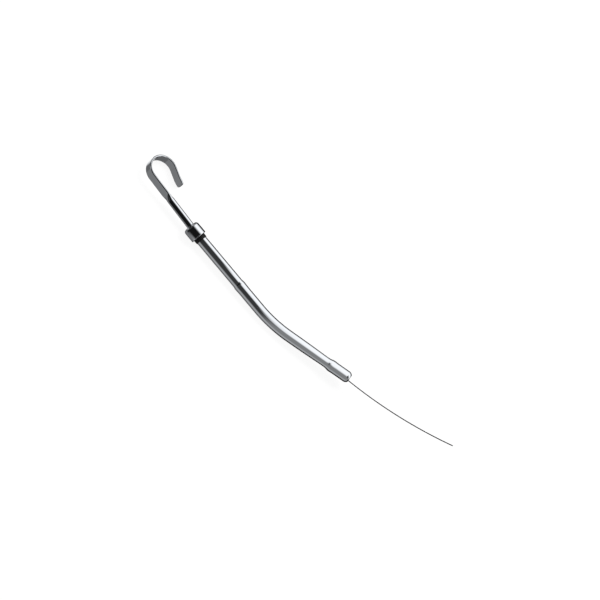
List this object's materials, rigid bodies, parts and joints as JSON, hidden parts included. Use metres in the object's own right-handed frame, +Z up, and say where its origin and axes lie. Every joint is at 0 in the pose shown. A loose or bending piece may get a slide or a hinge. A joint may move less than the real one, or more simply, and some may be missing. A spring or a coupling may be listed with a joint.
{
  "type": "engine oil dipstick",
  "caption": "Chromed engine oil dipstick in its bent guide tube, with a finger hook, a cap with a rubber seal, and a spring-steel blade that leaves through the tube's rounded block end.",
  "frame": {"origin": "middle of the block-end land of the guide tube, on its axis", "axes": "+Z up with the part lying as it comes to rest; +X along the line from the crown of the hook to the tip of the blade, towards the tip"},
  "size_m": [0.4899, 0.0636, 0.0341],
  "materials": {
    "tube_chrome": "polished chrome plate on drawn steel tube",
    "cap_chrome": "polished chrome plate on a deep-drawn cup",
    "handle_chrome": "polished chrome plate on pressed steel tube",
    "seal_rubber": "moulded black nitrile rubber, satin",
    "washer_steel": "zinc-plated steel",
    "blade_steel": "rolled spring steel, satin",
    "rivet_steel": "plain steel rivet"
  },
  "bodies": {
    "guide": {"guide_tube": "tube_chrome"},
    "dipstick": {"cap": "cap_chrome", "cap_seal": "seal_rubber", "seal_washer": "washer_steel", "handle": "handle_chrome", "blade": "blade_steel", "blade_rivet": "rivet_steel"}
  },
  "joints": [
    {"name": "dipstick_pull", "type": "slide", "parent": "guide", "child": "dipstick", "axis": [-0.9957, 0.0885, 0.0264], "range_m": [0, 0.018]}
  ]
}
